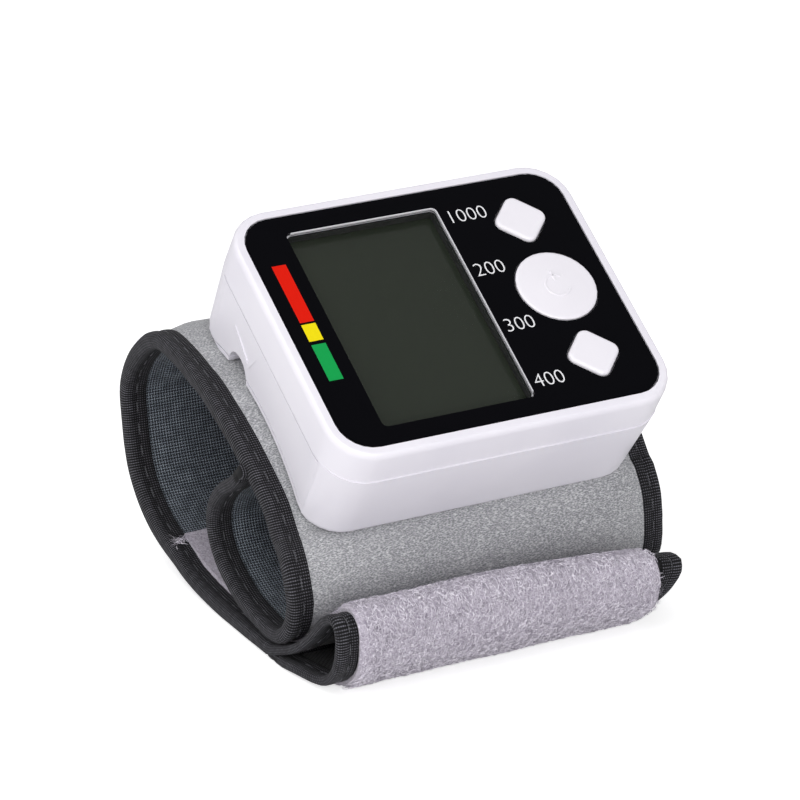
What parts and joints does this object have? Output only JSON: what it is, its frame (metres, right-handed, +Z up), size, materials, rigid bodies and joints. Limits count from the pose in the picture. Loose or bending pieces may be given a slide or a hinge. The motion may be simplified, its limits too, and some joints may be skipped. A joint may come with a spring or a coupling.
{
  "type": "wrist blood pressure monitor",
  "caption": "Wrist blood pressure monitor: split plastic measuring unit with a display and keys, curved inner works, and a taped fabric cuff with a bladder and a rolled closing strap.",
  "frame": {"origin": "centre of the bottom of the bounding box as the monitor rests on a table", "axes": "+X along the measuring unit from the display to the keys, which is also along the wrist; +Y away from the side the display leans towards; +Z up from the table"},
  "size_m": [0.086, 0.0918, 0.0787],
  "materials": {
    "shell": "fine satin, white with a slight lilac tint",
    "panel": "high gloss",
    "lens": "clear polished plastic",
    "keys": "semi-gloss white",
    "display": "dark green-grey liquid crystal glass",
    "display_frame": "plain moulded",
    "board": "green solder mask",
    "part": "plain moulded",
    "metal": "plated",
    "cell": "semi-gloss sleeve",
    "rubber": "soft matt",
    "cuff_cloth": "brushed loop knit, mid grey",
    "cuff_lining": "coarse plain weave, dark blue-grey",
    "pile": "fuzzy loop pile, pale lavender grey",
    "tape": "ribbed binding tape, black",
    "bladder": "soft matt film"
  },
  "bodies": {
    "monitor": {"upper_housing": "shell", "lower_housing": "shell", "face_panel": "panel", "window_lens": "lens", "display_glass": "display", "display_frame": "display_frame", "display_connector": "rubber", "circuit_board": "board", "power_switch": "part", "upper_switch": "part", "lower_switch": "part", "cell_outer": "cell", "cell_inner": "cell", "contact_link": "metal", "contact_plus": "metal", "contact_minus": "metal", "spring_outer": "metal", "spring_inner": "metal", "pump_motor": "metal", "pump_head": "part", "exhaust_valve": "part", "air_manifold": "part", "pump_hose": "rubber", "valve_hose": "rubber", "pressure_sensor": "part", "buzzer": "part", "case_screw_1": "metal", "case_screw_2": "metal", "case_screw_3": "metal", "case_screw_4": "metal", "cuff_plate": "part", "cuff_cloth": "cuff_cloth", "cuff_lining": "cuff_lining", "air_bladder": "bladder", "cuff_pile": "pile", "cuff_tape_left": "tape", "cuff_tape_right": "tape", "cuff_tape_end": "tape"},
    "power_key": {"power_key": "keys"},
    "upper_key": {"upper_key": "keys"},
    "lower_key": {"lower_key": "keys"},
    "battery_door": {"battery_door": "shell"},
    "strap": {"strap_cloth": "cuff_cloth", "strap_pile": "pile", "strap_tape_left": "tape", "strap_tape_right": "tape", "strap_tape_end": "tape"}
  },
  "joints": [
    {"name": "power_press", "type": "slide", "parent": "monitor", "child": "power_key", "axis": [0, 0.5432, -0.8396], "range_m": [0, 0.0005], "stiffness_N_per_m": 600},
    {"name": "upper_press", "type": "slide", "parent": "monitor", "child": "upper_key", "axis": [0, 0.5432, -0.8396], "range_m": [0, 0.0005], "stiffness_N_per_m": 600},
    {"name": "lower_press", "type": "slide", "parent": "monitor", "child": "lower_key", "axis": [0, 0.5432, -0.8396], "range_m": [0, 0.0005], "stiffness_N_per_m": 600},
    {"name": "door_slide", "type": "slide", "parent": "monitor", "child": "battery_door", "axis": [-1, 0, 0], "range_m": [0, 0.014]},
    {"name": "strap_fold", "type": "hinge", "parent": "monitor", "child": "strap", "pos_m": [0, -0.0184, 0], "axis": [1, 0, 0], "range_deg": [0, 70]}
  ]
}
